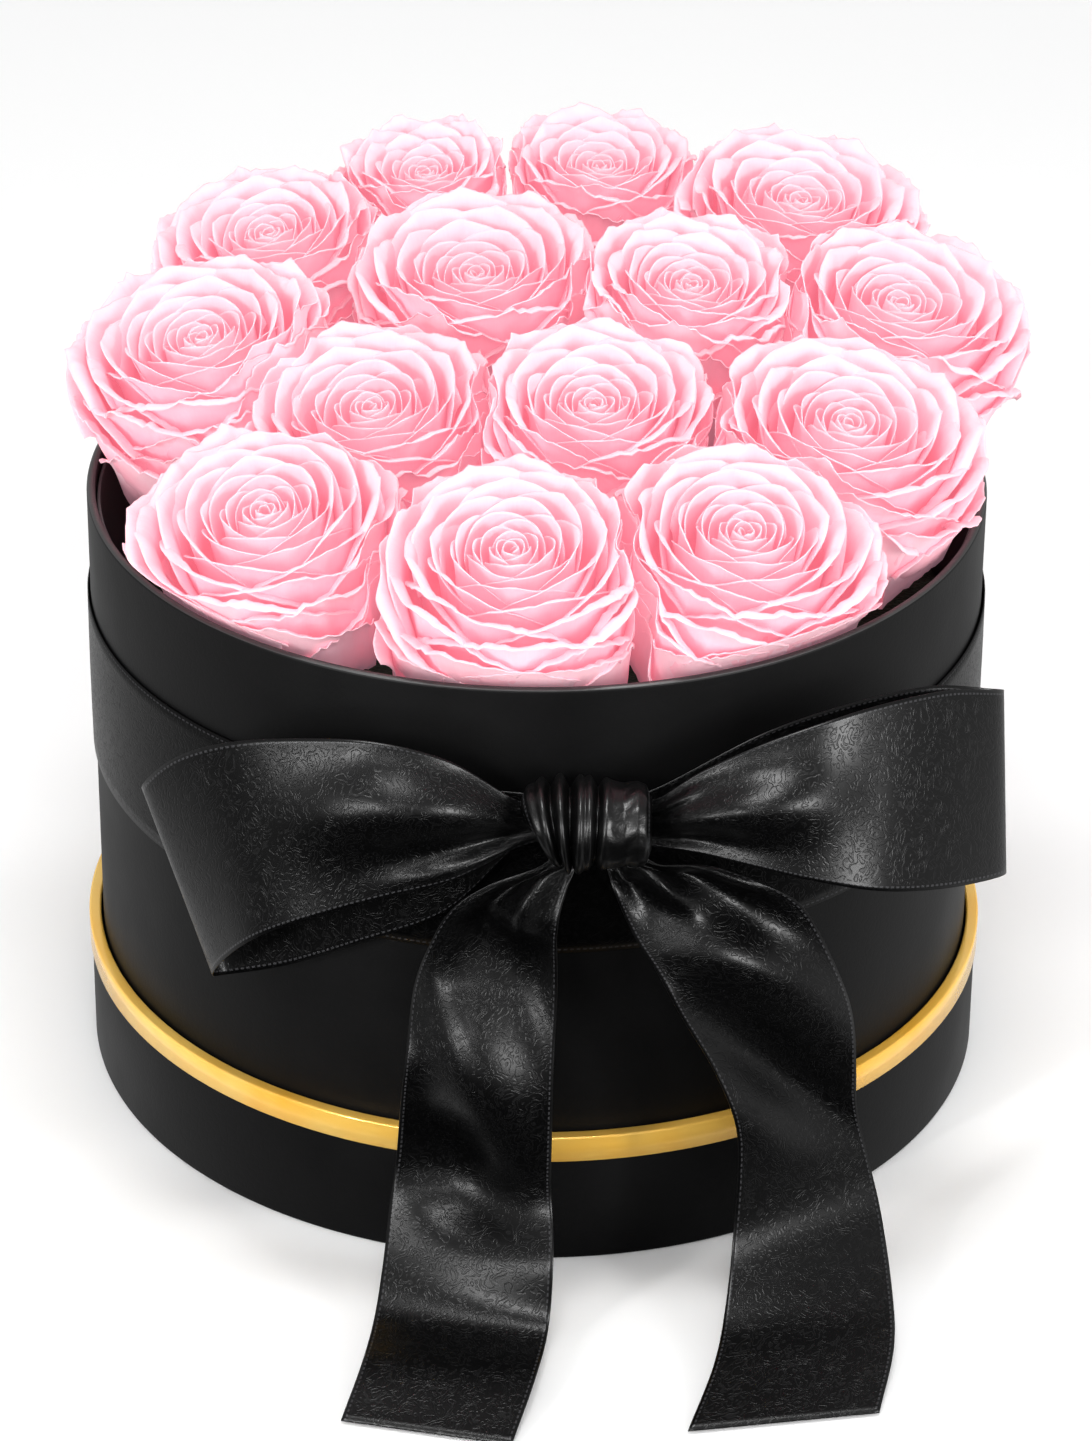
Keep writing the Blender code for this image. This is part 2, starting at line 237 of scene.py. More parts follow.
# Each rose's own shape in millimetres: how far its petals reach from its head's axis, how much higher than
# usual its outer crown stands, and how far its eye sits off its solid's axis along X, Y and Z.
ROSE_SHAPES = {
    "rose_front": (33.5, -0.8, (2.4, 0.0, 0.4)),
    "rose_front_right": (34.5, -0.8, (0.8, 0.0, 0.0)),
    "rose_right_low": (35.0, 0.5, (-2.2, 0.0, 0.0)),
    "rose_right_high": (34.0, 2.0, (0.0, 0.0, 0.0)),
    "rose_back_right": (33.0, 2.0, (3.6, 0.0, 0.6)),
    "rose_back": (27.0, 2.4, (-1.2, 0.0, 0.4)),
    "rose_back_left": (24.5, 2.4, (0.0, 0.0, 0.0)),
    "rose_left_high": (31.0, 1.4, (0.4, 0.0, -0.4)),
    "rose_left_low": (34.0, 1.5, (2.2, 0.0, 0.0)),
    "rose_front_left": (34.5, -1.4, (-1.6, 0.0, -2.6)),
    "rose_inner_back_left": (33.0, 4.5, (0.6, 0.0, 0.0)),
    "rose_inner_back_right": (30.0, 3.0, (0.0, 0.0, 0.8)),
    "rose_inner_front_left": (34.0, 1.5, (-2.6, 0.0, 0.0)),
    "rose_inner_front_right": (32.0, 2.0, (-1.6, 0.0, 0.4)),
}
ROSE_GAP = 0.3 * MM
PRESS_SOFT = 4 * MM
# How much a petal rises as it is pushed back, and the waves of the surface that two roses share.
PRESS_LIFT = 0.25
WALL_RIPPLE = 1.8 * MM
WALL_RIPPLE_LENGTH = 3.6 * MM
WALL_RIPPLE_TURN = 2.4
# Two roses press on each other when they are nearer than this share of their radii together.
PRESS_REACH = 1.3
# The wall of the box holds petals in at its rim, a little further in below it, and lets them spread above it.
RIM_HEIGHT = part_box("box_wall")[1].z
WALL_LIMIT = 106.3 * MM
WALL_SLOPE_BELOW = 0.34
WALL_SLOPE_ABOVE = 1.2
PETALS = 56
GOLDEN_ANGLE = math.radians(137.508)
PETAL_THICKNESS = 0.25 * MM
# How far in from its margin a petal is pale and carries a painted highlight, and where it is rosiest and
# darkest with painted shade, in millimetres.
PALE_HIGHLIT_EDGE = 0.9
ROSY_SHADED_FROM = 15

# All sizes along a petal are in millimetres, and t runs from the innermost petal (0) to the outermost (1).
# Against t: how finely a petal is divided across and along. Its rows crowd towards the margin.
COLUMNS = ((0, 0.4, 0.7, 1), (20, 24, 38, 42))
ROWS = ((0, 0.4, 1), (8, 10, 14))
ROW_CROWDING = 1.7
# How far out a petal's tip stands, as a share of the bloom's radius.
SPREAD = ((0, 0.1, 0.3, 0.5, 0.65, 0.78, 0.88, 1.0), (0.04, 0.13, 0.36, 0.60, 0.79, 0.93, 1.0, 0.98))
# Height of a petal's tip above the eye.
CROWN = ((0, 0.15, 0.35, 0.5, 0.65, 0.78, 0.88, 1.0), (0, 1.0, 2.6, 3.2, 2.4, -0.5, -5.0, -14.0))
# How far the upper part of a petal flares out, in degrees, and over what length.
FLARE = ((0, 0.12, 0.35, 0.55, 0.75, 0.88, 1.0), (-14, -2, 8, 24, 42, 44, 18))
FLARE_LENGTH = ((0, 0.5, 1.0), (4.0, 8.0, 10.5))
# The same for the roll of its margin.
ROLL = ((0.15, 0.3, 0.6, 0.8, 1.0), (0, 18, 52, 76, 70))
ROLL_LENGTH = ((0, 0.5, 1.0), (1.5, 2.6, 3.8))
LENGTH = ((0, 0.3, 0.6, 0.85, 1.0), (16.0, 26.0, 38.0, 42.0, 34.0))
# Where a petal joins the rose: its distance from the axis, its height, and how far below its margin it starts
# to bend that way.
BASE_OUT = ((0, 1.0), (1.5, 6.0))
BASE_UP = ((0, 0.4), (-30.0, -40.5))
BASE_BEND = 14.0
HALF_ANGLE = ((0, 0.12, 0.35, 0.7, 1.0), (118, 84, 66, 56, 52))
MARGIN_DROP = ((0, 0.2, 0.5, 0.8, 1.0), (2.2, 5.5, 10.0, 12.0, 9.0))
TUCK = ((0, 0.3, 1.0), (0.14, 0.09, 0.045))
TRUNK_LEAN = ((0, 0.5, 1.0), (-2.0, 3.0, 2.0))
# Of the margin: the height of its point, of its soft waves and of its ragged teeth, and its waves in and out.
POINT = ((0.25, 0.6, 1), (0.0, 1.4, 2.6))
RUFFLE = ((0, 0.5, 1), (0.10, 0.22, 0.5))
RAGGED = ((0.45, 0.9), (0.0, 0.42))
RIM_WAVE = ((0, 1), (0.05, 0.45))
# How far the lower part of a petal leans in, in degrees, and the stretch over which it does.
LOWER_LEAN = ((0.2, 0.8), (0, 46))
LOWER_LEAN_FROM = ((0.6, 1), (14, 19))
LOWER_LEAN_OVER = 16
# No petal comes nearer to the axis than this.
AXIS_CLEARANCE = 0.35

# Stem and sepals, in millimetres below the stem's top: the cup as (radius, height), then the stem.
CUP_TOP = -0.3
CUP = ((2.6, -1.1), (4.4, -2.1), (5.4, -2.9), (5.2, -4.0), (4.2, -5.4), (3.0, -6.8), (1.9, -8.2))
STEM_RADIUS = 1.55
STEM_SWELL = 0.12
STEM_FOOT_RADIUS = 1.6
STEM_RINGS = 9
STEM_SIDES = 20
SEPALS = 5
SEPAL_THICKNESS = 0.35 * MM
SEPAL_ROWS = 15
SEPAL_COLUMNS = 9
SEPAL_HALF_WIDTH = 2.6
# Where a sepal starts and ends below the stem's top, and how much further down its tip may hang.
SEPAL_TOP = -3.4
SEPAL_FALL = 10.0
SEPAL_DROOP = 1.5
# Its distance from the stem's axis at its start, how far it bows out from there, and how hollow it is across.
SEPAL_OUT = 5.2
SEPAL_BOW = 3.0
SEPAL_HOLLOW = 0.5


# ---------------------------------------------------------------- materials


class Shading:
    """A material being built: add() makes a node with its inputs set or linked."""

    def __init__(self, name):
        self.material = bpy.data.materials.new(name)
        self.material.use_nodes = True
        self.tree = self.material.node_tree
        self.shader = self.tree.nodes["Principled BSDF"]

    def add(self, kind, inputs=None, **settings):
        node = self.tree.nodes.new("ShaderNode" + kind)
        for key, value in settings.items():
            setattr(node, key, value)
        self.feed(node, inputs or {})
        return node

    def feed(self, node, inputs):
        for key, value in inputs.items():
            socket = node.inputs[key]
            if isinstance(value, bpy.types.NodeSocket):
                self.tree.links.new(value, socket)
            else:
                socket.default_value = value

    def set(self, **inputs):
        self.feed(self.shader, {key.replace("_", " "): value for key, value in inputs.items()})

    def math(self, operation, *values):
        return self.add("Math", dict(enumerate(values)), operation=operation).outputs[0]

    def ramp(self, value, *stops):
        """A ramp of grey values or colours: each stop is (place, value)."""
        node = self.add("ValToRGB", {"Fac": value})
        elements = node.color_ramp.elements
        while len(elements) < len(stops):
            elements.new(0.5)
        for element, (place, colour) in zip(elements, stops):
            element.position = place
            element.color = (*colour, 1) if isinstance(colour, tuple) else (colour, colour, colour, 1)
        return node.outputs["Color"]

    def mix(self, factor, first, second, blend="MIX"):
        node = self.add("Mix", data_type="RGBA", blend_type=blend)
        first, second = ((*c, 1) if isinstance(c, tuple) else c for c in (first, second))
        for index, value in ((0, factor), (6, first), (7, second)):
            if isinstance(value, bpy.types.NodeSocket):
                self.tree.links.new(value, node.inputs[index])
            else:
                node.inputs[index].default_value = value
        return node.outputs[2]

    def noise(self, scale, detail=2.0, vector=None, distortion=0.0, roughness=0.5):
        inputs = {"Scale": scale, "Detail": detail, "Distortion": distortion, "Roughness": roughness}
        inputs["Vector"] = vector or self.object_place()
        return self.add("TexNoise", inputs).outputs["Fac"]

    def object_place(self):
        return self.add("TexCoord").outputs["Object"]

    def stretched(self, scale, vector=None):
        inputs = {"Vector": vector or self.object_place(), "Scale": scale}
        return self.add("Mapping", inputs).outputs["Vector"]

    def attribute(self, name):
        return self.add("Attribute", attribute_name=name).outputs["Fac"]

    def bump(self, height, distance, strength=1.0, after=None):
        inputs = {"Height": height, "Distance": distance, "Strength": strength}
        if after:
            inputs["Normal"] = after
        return self.add("Bump", inputs).outputs["Normal"]


def board_material(name, gloss=0.14):
    """Black soft-touch paper over board: fine leathery grain and faint mottling."""
    look = Shading(name)
    grain = look.noise(900, 3, roughness=0.6)
    mottle = look.noise(28, 3)
    veins = look.add("TexVoronoi", {"Scale": 420, "Vector": look.object_place()}, feature="DISTANCE_TO_EDGE")
    vein = look.ramp(veins.outputs["Distance"], (0.0, 0.0), (0.12, 1.0))
    colour = look.ramp(mottle, (0.3, (0.0022, 0.0022, 0.0024)), (0.7, (0.0036, 0.0036, 0.0038)))
    height = look.math("ADD", look.math("MULTIPLY", grain, 0.5), look.math("MULTIPLY", vein, 0.35))
    normal = look.bump(height, 0.05 * MM, 0.55)
    look.set(
        Base_Color=colour,
        Roughness=look.ramp(mottle, (0.3, 0.46), (0.7, 0.56)),
        Normal=normal,
        Specular_IOR_Level=gloss,
    )
    return look.material


def lining_material():
    look = Shading("lining_paper")
    fibre = look.noise(700, 4, look.stretched((1, 1, 6)))
    # Dark grey paper, partly its own colour and partly painted reflection: it is lighter than the black board
    # to stand in for the roses' light reflected on it.
    look.set(
        Base_Color=look.ramp(fibre, (0.3, (0.03, 0.028, 0.029)), (0.7, (0.05, 0.048, 0.049))),
        Roughness=look.ramp(fibre, (0.2, 0.5), (0.8, 0.65)),
        Normal=look.bump(fibre, 0.08 * MM, 0.6),
        Specular_IOR_Level=0.4,
    )
    return look.material


def gold_material():
    """Hot-stamped gold foil: polished, with faint rolling marks and soft dents."""
    look = Shading("gold_foil")
    marks = look.noise(1500, 2, look.stretched((1, 1, 12)))
    dents = look.noise(45, 2)
    look.set(
        Base_Color=look.ramp(dents, (0.3, (1.0, 0.52, 0.055)), (0.7, (1.0, 0.65, 0.15))),
        Metallic=0.25,
        Roughness=look.ramp(marks, (0.3, 0.13), (0.7, 0.22)),
        Coat_Weight=0.25,
        Coat_Roughness=0.12,
        Normal=look.bump(dents, 0.25 * MM, 0.5, look.bump(marks, 0.01 * MM, 0.5)),
    )
    return look.material


def foam_material():
    look = Shading("floral_foam")
    cells = look.add("TexVoronoi", {"Scale": 900, "Vector": look.object_place()})
    grit = look.noise(240, 4)
    look.set(
        Base_Color=look.ramp(grit, (0.3, (0.006, 0.018, 0.008)), (0.7, (0.014, 0.036, 0.016))),
        Roughness=0.95,
        Normal=look.bump(look.math("ADD", cells.outputs["Distance"], grit), 0.5 * MM, 0.8),
    )
    return look.material


def satin_material(name, gloss, figured=1.0):
    """Black satin with a pressed squiggle pattern, fine weft threads, and stitched selvedges.

    figured is how strongly the pattern shows, from 0 to 1.
    """
    look = Shading(name)
    cloth = look.add("UVMap", uv_map="cloth").outputs["UV"]
    place = look.add("SeparateXYZ", {"Vector": cloth}).outputs
    across, along = place["X"], place["Y"]
    swirl = look.noise(300, 0.0, cloth, distortion=1.6)
    level = look.math("FRACT", look.math("MULTIPLY", swirl, 4.0))
    line = look.math("ABSOLUTE", look.math("SUBTRACT", level, 0.5))
    squiggle = look.ramp(line, (0.05, 1.0 - figured), (0.2, 1.0))
    weft = look.noise(1.0, 2, look.stretched((900, 7000, 1), cloth))
    edge = look.math("MINIMUM", across, look.math("SUBTRACT", RIBBON_WIDTH, across))
    from_row = look.math("ABSOLUTE", look.math("SUBTRACT", edge, STITCH_ROW))
    in_row = look.math("LESS_THAN", from_row, STITCH_WIDTH / 2)
    step = look.math("FRACT", look.math("DIVIDE", along, STITCH_PITCH))
    stitch = look.math("MULTIPLY", in_row, look.math("LESS_THAN", step, STITCH_SHARE))
    hem = look.math("LESS_THAN", edge, HEM)
    pattern = look.math("MAXIMUM", squiggle, hem)
    normal = look.bump(weft, 0.012 * MM, 0.5)
    normal = look.bump(pattern, 0.055 * MM, 0.6, normal)
    normal = look.bump(stitch, 0.12 * MM, 1.0, normal)
    base = look.mix(squiggle, (0.0024, 0.0024, 0.0026), (0.001, 0.001, 0.0011))
    look.set(
        Base_Color=look.mix(stitch, base, (0.03, 0.03, 0.032)),
        Roughness=look.ramp(pattern, (0.0, 0.40), (1.0, 0.31)),
        Normal=normal,
        Specular_IOR_Level=gloss,
    )
    return look.material


def petal_material():
    """Preserved rose petal: pale margins with a painted highlight, rosier and darker towards the base with
    painted shade, fine veins along it, velvety, and a faint painted pink glow.
    """
    look = Shading("petal")
    leaf = look.add("UVMap", uv_map="leaf").outputs["UV"]
    veins = look.noise(1.0, 3, look.stretched((2600, 160, 1), leaf), roughness=0.6)
    blush = look.noise(120, 2, leaf)
    deep, margin = look.attribute("deep"), look.attribute("margin")
    # Partly the petal's own rosier base and partly painted shade: the colour grows darker and rosier with
    # deep, towards the petal's base in the depths of the flower.
    colour = look.ramp(deep, (0.0, (1.0, 0.60, 0.66)), (0.6, (1.0, 0.56, 0.63)), (1.0, (1.0, 0.40, 0.48)))
    colour = look.mix(look.ramp(blush, (0.35, 0.0), (0.75, 0.3)), colour, (1.0, 0.64, 0.71))
    colour = look.mix(look.ramp(veins, (0.45, 0.0), (0.8, 0.16)), colour, (1.0, 0.41, 0.50))
    # Partly the petal's own pale edge and partly a painted highlight: the colour is lightened along the
    # margin.
    colour = look.mix(look.math("MULTIPLY", margin, 0.08), colour, (1.0, 0.82, 0.87))
    look.set(
        Base_Color=colour,
        Roughness=0.62,
        Normal=look.bump(veins, 0.06 * MM, 0.5),
        Specular_IOR_Level=0.15,
        Sheen_Weight=0.04,
        Sheen_Roughness=0.5,
        # Painted glow: a faint pink light given off by every petal stands in for light passing through the
        # petals and bouncing between them.
        Emission_Color=(1.0, 0.50, 0.64, 1.0),
        Emission_Strength=0.14,
    )
    return look.material


def stem_material():
    look = Shading("stem_and_sepals")
    fibre = look.noise(1.0, 3, look.stretched((900, 900, 120)))
    spots = look.noise(90, 2)
    colour = look.mix(look.ramp(fibre, (0.4, 0.0), (0.8, 0.5)), (0.085, 0.17, 0.05), (0.16, 0.27, 0.09))
    look.set(
        Base_Color=look.mix(look.ramp(spots, (0.55, 0.0), (0.75, 0.35)), colour, (0.20, 0.16, 0.07)),
        Roughness=0.6,
        Normal=look.bump(fibre, 0.15 * MM, 0.6),
        Specular_IOR_Level=0.3,
    )
    return look.material


# ------------------------------------------------------------------- meshes


def mesh_object(name, points, faces, material, uv=None, values=None):
    """A smooth-shaded object. uv is (map name, one place per point); values are named numbers per point."""
    mesh = bpy.data.meshes.new(name)
    mesh.from_pydata([tuple(p) for p in points], [], faces)
    mesh.materials.append(material)
    mesh.shade_smooth()
    if uv:
        layer = mesh.uv_layers.new(name=uv[0])
        corners = np.empty(len(mesh.loops), np.int32)
        mesh.loops.foreach_get("vertex_index", corners)
        layer.data.foreach_set("uv", np.asarray(uv[1], np.float32)[corners].ravel())
    for key, numbers in (values or {}).items():
        mesh.attributes.new(key, "FLOAT", "POINT").data.foreach_set("value", np.asarray(numbers, np.float32))
    made = bpy.data.objects.new(name, mesh)
    bpy.context.scene.collection.objects.link(made)
    return made


def grid_faces(rows, columns, first=0, ring=False):
    """Quads of a grid of points. A ring also joins its last row to its first."""
    faces = []
    for r in range(rows if ring else rows - 1):
        low = first + r * columns
        high = first + ((r + 1) % rows) * columns
        faces += [(low + c, high + c, high + c + 1, low + c + 1) for c in range(columns - 1)]
    return faces


def tube_faces(rings, sides, closed=False):
    """Quads between rings of points, each closed on itself. closed also joins the last ring to the first."""
    faces = []
    for r in range(rings if closed else rings - 1):
        low, high = r * sides, ((r + 1) % rings) * sides
        faces += [(low + c, high + c, high + (c + 1) % sides, low + (c + 1) % sides) for c in range(sides)]
    return faces


def thicken(piece, thickness):
    """Gives a sheet its real thickness, half to each side."""
    solid = piece.modifiers.new("Thickness", "SOLIDIFY")
    solid.thickness = thickness
    solid.offset = 0
    return piece


def stand_for(piece, body, slot, *nodes):
    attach(piece, body)
    if nodes:
        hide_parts(*nodes)
    return piece


def corner_arc(centre, radius, start, end, steps=6):
    """Points (radius, height) of an arc from start to end, in degrees."""
    turns = np.radians(np.linspace(start, end, steps + 1))
    return [(centre[0] + radius * math.cos(a), centre[1] + radius * math.sin(a)) for a in turns]


def lathe(name, outline, material, steps=ROUND_STEPS):
    """Turns a closed outline of (radius, height) round Z. It runs anticlockwise, seen with Z up."""
    turns = np.linspace(0, math.tau, steps, endpoint=False)
    loop = np.array(outline)
    points = np.empty((steps, len(loop), 3))
    points[..., 0] = np.cos(turns)[:, None] * loop[:, 0]
    points[..., 1] = np.sin(turns)[:, None] * loop[:, 0]
    points[..., 2] = loop[:, 1]
    faces = tube_faces(steps, len(loop), closed=True)
    return mesh_object(name, points.reshape(-1, 3), faces, material)


def wall_outline(inner, outer, bottom, top, round_top, round_bottom):
    """A wall's section with rounded edges, anticlockwise from its lower outer edge."""
    return [
        *corner_arc((outer - round_bottom, bottom + round_bottom), round_bottom, -90, 0),
        *corner_arc((outer - round_top, top - round_top), round_top, 0, 90, 8),
        *corner_arc((inner + round_top, top - round_top), round_top, 90, 180, 8),
        *corner_arc((inner + round_bottom, bottom + round_bottom), round_bottom, 180, 270),
    ]


# ------------------------------------------------------------ box and its lid


def node_radii(node):
    """Smallest and largest distance of a round node's points from the Z axis, and its heights."""
    low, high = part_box(node)
    places = np.array([v.co for v in frame["nodes"][node].data.vertices])
    away = np.hypot(places[:, 0], places[:, 1])
    return away.min(), away.max(), low.z, high.z


def polish_edge(piece, outline, material):
    """Gives the faces along a wall's top edge the paper that handling has polished."""
    piece.data.materials.append(material)
    top = max(z for _, z in outline)
    for face in piece.data.polygons:
        if face.center.z > top - EDGE_POLISH:
            face.material_index = 1


def make_board_pieces():
    black = board_material("board_paper")
    tray = board_material("tray_paper")
    edge = board_material("edge_paper", 0.8)
    for node, name, body, material, top, bottom in (
        ("box_wall", "box_shell", "box", black, 1.0 * MM, 0.3 * MM),
        ("lid_wall", "tray_wall", "lid", tray, 0.6 * MM, 0.7 * MM),
    ):
        outline = wall_outline(*node_radii(node), top, bottom)
        piece = stand_for(lathe(name, outline, material), body, "board_black", node)
        polish_edge(piece, outline, edge)
    outline = wall_outline(*node_radii("box_lining"), 0.25 * MM, 0.1 * MM)
    stand_for(lathe("box_paper_lining", outline, lining_material()), "box", "lining_black", "box_lining")
    for node in ("lid_panel", "box_floor"):
        frame["nodes"][node].data.materials.clear()
        frame["nodes"][node].data.materials.append(tray)
    foam = frame["nodes"]["foam_block"]
    foam.data.materials.clear()
    foam.data.materials.append(foam_material())


def make_gold_band():
    """A strip of foil folded over the lid's edge, with soft corners."""
    inner, outer, low, high = node_radii("lid_gold_band")
    outside, inside = (outer - FOIL_BEND, high - FOIL_BEND), (inner + FOIL_BEND, high - FOIL_BEND)
    outline = [
        (outer, low),
        *corner_arc(outside, FOIL_BEND, 0, 90, 5),
        *corner_arc(inside, FOIL_BEND, 90, 180, 5),
        (inner, low),
        (inner + FOIL, low),
        *reversed(corner_arc(inside, FOIL_BEND - FOIL, 90, 180, 5)),
        *reversed(corner_arc(outside, FOIL_BEND - FOIL, 0, 90, 5)),
        (outer - FOIL, low),
    ]
    stand_for(lathe("tray_gold_foil", outline, gold_material()), "lid", "gold_foil", "lid_gold_band")


# ------------------------------------------------------------------- ribbon


def smooth_line(points, places):
    """Places on the smooth curve through the points, where each place runs from 0 to the last index."""
    points = np.array(points, float)
    padded = np.vstack([2 * points[0] - points[1], points, 2 * points[-1] - points[-2]])
    low = np.minimum(places.astype(int), len(points) - 2)
    t = (places - low)[:, None]
    before, start, end, after = (padded[low + k] for k in range(4))
    slope_in, slope_out = (end - before) / 2, (after - start) / 2
    return (
        start * (2 * t**3 - 3 * t**2 + 1)
        + slope_in * (t**3 - 2 * t**2 + t)
        + end * (3 * t**2 - 2 * t**3)
        + slope_out * (t**3 - t**2)
    )


def eased(x):
    """0 below 0, 1 above 1, and a smooth step between them."""
    x = np.clip(x, 0, 1)
    return x * x * (3 - 2 * x)


def fold_depth(name, places, across):
    """Depth in millimetres of a ribbon's folds and ripples, at each row's station and each place across."""
    depth = np.zeros((len(places), len(across)))
    for start_at, end_at, width, deep, first, peak, last in FOLDS.get(name, ()):
        run = np.clip((places - first) / (last - first), 0, 1)
        centre = start_at + (end_at - start_at) * run
        rise = eased((places - first) / (peak - first)) * eased((last - places) / (last - peak))
        spread = np.exp(-(((across[None, :] - centre[:, None]) / width) ** 2))
        depth += deep * rise[:, None] * spread
    if name in RIPPLES:
        slant, first, length, deep, start, last = RIPPLES[name]
        turns = (places[:, None] - slant * across[None, :] - first) / length
        rise = eased((places - start) / 1.2) * eased((last - places) / 1.2)
        # A ripple is weaker along the ribbon's edges.
        taper = 0.3 + 0.7 * np.sin(math.pi * across)
        depth += deep * np.sin(math.tau * turns) * rise[:, None] * taper[None, :]
    return depth


def ribbon_sheet(name, stations, material, outward):
    """Satin between its two edges, with its folds pressed in, and its length.

    outward is the side that the folds rise to: 1 or -1.
    """
    count = len(stations)
    places = np.linspace(0, count - 1, (count - 1) * ROWS_PER_STATION + 1)
    upper = smooth_line([edge for edge, _ in stations], places)
    lower = smooth_line([edge for _, edge in stations], places)
    across = np.linspace(0, 1, RIBBON_COLUMNS + 1)
    grid = upper[:, None] * (1 - across)[None, :, None] + lower[:, None] * across[None, :, None]
    along = np.gradient((upper + lower) / 2, axis=0)
    normal = np.cross(lower - upper, along) * outward
    normal /= np.linalg.norm(normal, axis=1)[:, None]
    grid += normal[:, None] * fold_depth(name, places, across)[..., None]
    grid *= MM
    middle = grid[:, RIBBON_COLUMNS // 2]
    run = np.concatenate([[0], np.cumsum(np.linalg.norm(np.diff(middle, axis=0), axis=1))])
    uv = np.empty((len(places), len(across), 2))
    uv[..., 0] = across * RIBBON_WIDTH
    uv[..., 1] = run[:, None]
    faces = grid_faces(len(places), len(across))
    piece = mesh_object(name, grid.reshape(-1, 3), faces, material, ("cloth", uv.reshape(-1, 2)))
    return thicken(piece, SATIN), run[-1]


def make_band(material):
    """The ribbon wound once round the box, lying a little unevenly."""
    inner, outer, low, high = node_radii("ribbon_band")
    middle = (inner + outer) / 2
    turns = np.linspace(0, math.tau, ROUND_STEPS, endpoint=False)
    across = np.linspace(0, 1, BAND_COLUMNS + 1)
    ease = BAND_EASE * (1 + np.sin(3 * turns + 0.6)) * 0.5
    bulge = np.sin(math.pi * across) * BAND_BULGE
    radius = middle + ease[:, None] + bulge[None, :]
    lift = BAND_WANDER * np.sin(2 * turns + 1.1)
    grid = np.empty((ROUND_STEPS, len(across), 3))
    grid[..., 0] = np.cos(turns)[:, None] * radius
    grid[..., 1] = np.sin(turns)[:, None] * radius
    grid[..., 2] = (high - (high - low) * across)[None, :] + lift[:, None]
    uv = np.empty((ROUND_STEPS, len(across), 2))
    uv[..., 0] = across * RIBBON_WIDTH
    uv[..., 1] = (turns * middle)[:, None]
    faces = grid_faces(ROUND_STEPS, len(across), ring=True)
    piece = mesh_object("satin_band", grid.reshape(-1, 3), faces, material, ("cloth", uv.reshape(-1, 2)))
    thicken(piece, SATIN)
    stand_for(piece, "box", "satin_black", "ribbon_band")


# Creases of the knot: their place along it (-1 to 1) at the top and at the bottom of its front, their width
# and their depth in millimetres.
KNOT_CREASES = (
    (-0.86, -0.84, 0.06, 0.7),
    (-0.60, -0.68, 0.09, 2.2),
    (-0.27, -0.36, 0.10, 2.6),
    (-0.02, -0.02, 0.05, 0.7),
    (0.20, 0.12, 0.07, 1.9),
    (0.62, 0.70, 0.14, 0.5),
)
# The knot's thickness along it, as a share of its largest.
KNOT_PROFILE = (
    (-1.08, -1.0, -0.86, -0.45, 0.0, 0.25, 0.86, 1.0, 1.08),
    (0.52, 0.80, 0.93, 1.0, 1.0, 0.94, 0.92, 0.84, 0.54),
)
# How far the knot's left side draws in towards its foot, as a share of its half width.
KNOT_SHEAR = 0.5
# The ribbon rises in a low ridge beside a crease: its height as a share of the crease's depth, and how many
# crease widths away it is.
KNOT_RIDGE = 0.35
KNOT_RIDGE_AT = 1.9
# The depth in millimetres of the fine wrinkles on the knot's right half, and their slant along it.
KNOT_WRINKLE = 0.08
KNOT_WRINKLE_SLANT = 2.5
# How far the knot reaches along X, as a share of its CAD solid's half width.
KNOT_REACH = 1.08
KNOT_ROWS = 120
KNOT_COLUMNS = 90


def make_knot(material):
    """The ribbon's short turn over the middle of the bow, gathered into creases and drawn in at its foot."""
    low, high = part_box("bow_knot")
    centre, half = (low + high) / 2, (high - low) / 2
    turns = np.linspace(0, math.tau, KNOT_ROWS, endpoint=False)
    across = np.linspace(-KNOT_REACH, KNOT_REACH, KNOT_COLUMNS)
    share = np.interp(across, *KNOT_PROFILE)
    # 0 at the top of the front, 1 at its bottom, and back again round the hidden side.
    fall = (1 + np.sin(turns - math.pi / 2)) / 2
    radius = np.ones((len(turns), len(across))) * share[None, :]
    depth = np.zeros_like(radius)
    for top, bottom, width, deep in KNOT_CREASES:
        at = top + (bottom - top) * fall
        away = np.abs(across[None, :] - at[:, None]) / width
        depth += deep * np.exp(-(away**1.3))
        depth -= KNOT_RIDGE * deep * np.exp(-((away - KNOT_RIDGE_AT) ** 2))
    cross = turns[:, None] * 13 + KNOT_WRINKLE_SLANT * np.sin(across[None, :] * 9)
    wrinkles = KNOT_WRINKLE * np.sin(cross) * eased((across - 0.2) / 0.3)[None, :]
    # The turn starts at the top (+Z) and goes over the front (-Y) down to the bottom.
    size_y = half.y * radius - (depth + wrinkles) * MM
    size_z = half.z * radius - (depth + wrinkles) * MM
    grid = np.empty((len(turns), len(across), 3))
    narrow = 1 - KNOT_SHEAR * fall[:, None] * eased(-across[None, :] * 2)
    grid[..., 0] = centre.x + across[None, :] * half.x * narrow
    grid[..., 1] = centre.y - np.sin(turns)[:, None] * size_y
    grid[..., 2] = centre.z + np.cos(turns)[:, None] * size_z
    uv = np.empty((len(turns), len(across), 2))
    uv[..., 0] = (across[None, :] / (2 * KNOT_REACH) + 0.5) * RIBBON_WIDTH
    girth = math.tau * (half.y + half.z) / 2
    uv[..., 1] = (turns / math.tau * girth)[:, None]
    faces = grid_faces(len(turns), len(across), ring=True)
    piece = mesh_object("satin_knot", grid.reshape(-1, 3), faces, material, ("cloth", uv.reshape(-1, 2)))
    thicken(piece, SATIN)
    stand_for(piece, "box", "satin_black", "bow_knot")


